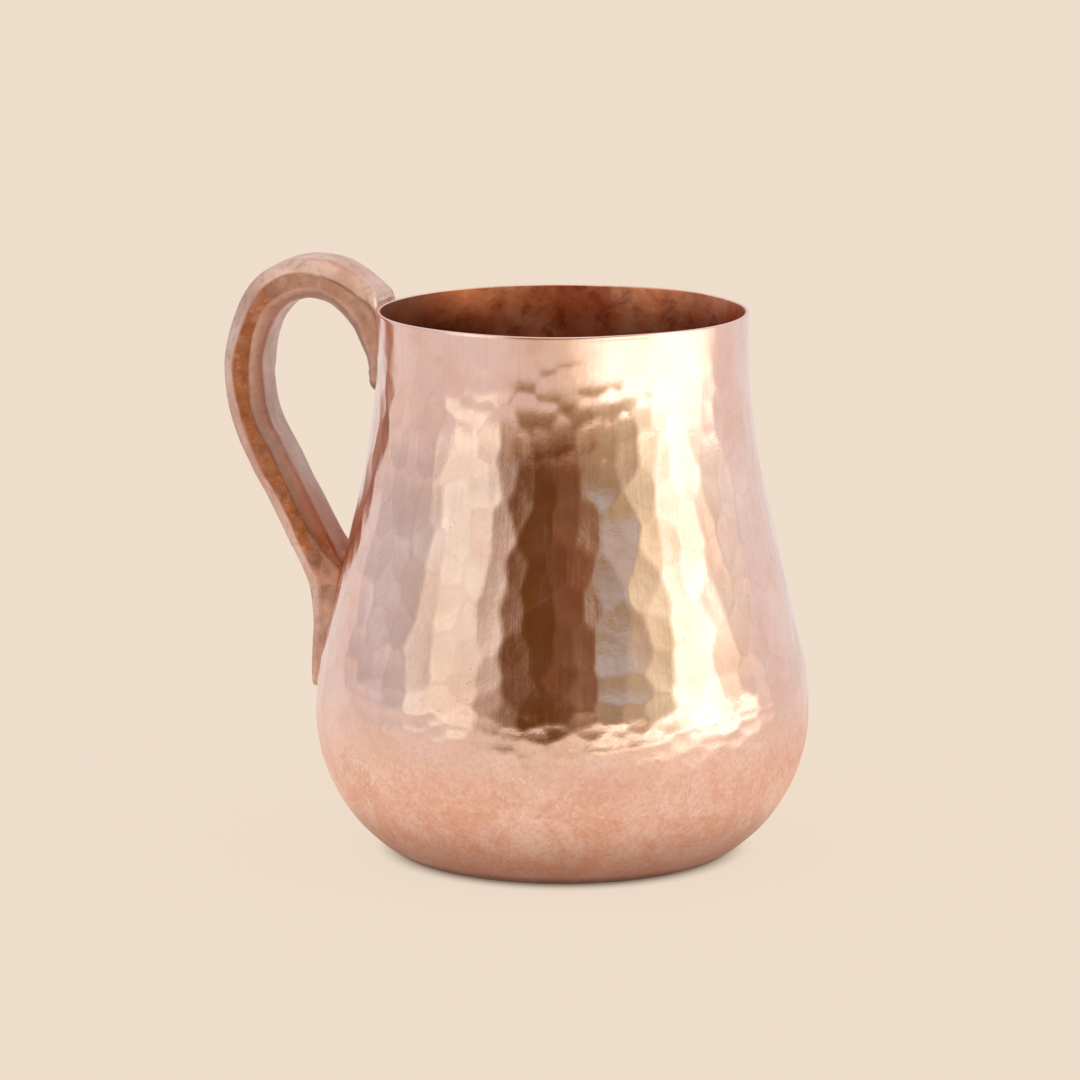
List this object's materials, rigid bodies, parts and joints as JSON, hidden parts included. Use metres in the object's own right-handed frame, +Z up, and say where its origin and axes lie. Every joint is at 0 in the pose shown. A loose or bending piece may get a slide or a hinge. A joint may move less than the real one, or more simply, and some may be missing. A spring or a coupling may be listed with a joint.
{
  "type": "pitcher",
  "caption": "Round-bellied hammered copper pitcher with an open mouth and a forged loop handle riveted to the neck and belly.",
  "frame": {"origin": "middle of the flat base, on the vessel's axis, where it stands", "axes": "+Z up along the vessel's axis, the handle on the -X side in the XZ plane, +Y to the vessel's side"},
  "size_m": [0.119, 0.0988, 0.1182],
  "materials": {
    "hammered_copper": "hand hammered, polished, with a thin warm tarnish",
    "forged_copper": "forged, satin, with brown patina in the hollows",
    "rivet_copper": "hammered heads, satin"
  },
  "bodies": {
    "root": {"vessel": "hammered_copper", "handle": "forged_copper", "rivet_neck_front": "rivet_copper", "rivet_neck_back": "rivet_copper", "rivet_belly_upper": "rivet_copper", "rivet_belly_lower": "rivet_copper"}
  },
  "joints": []
}
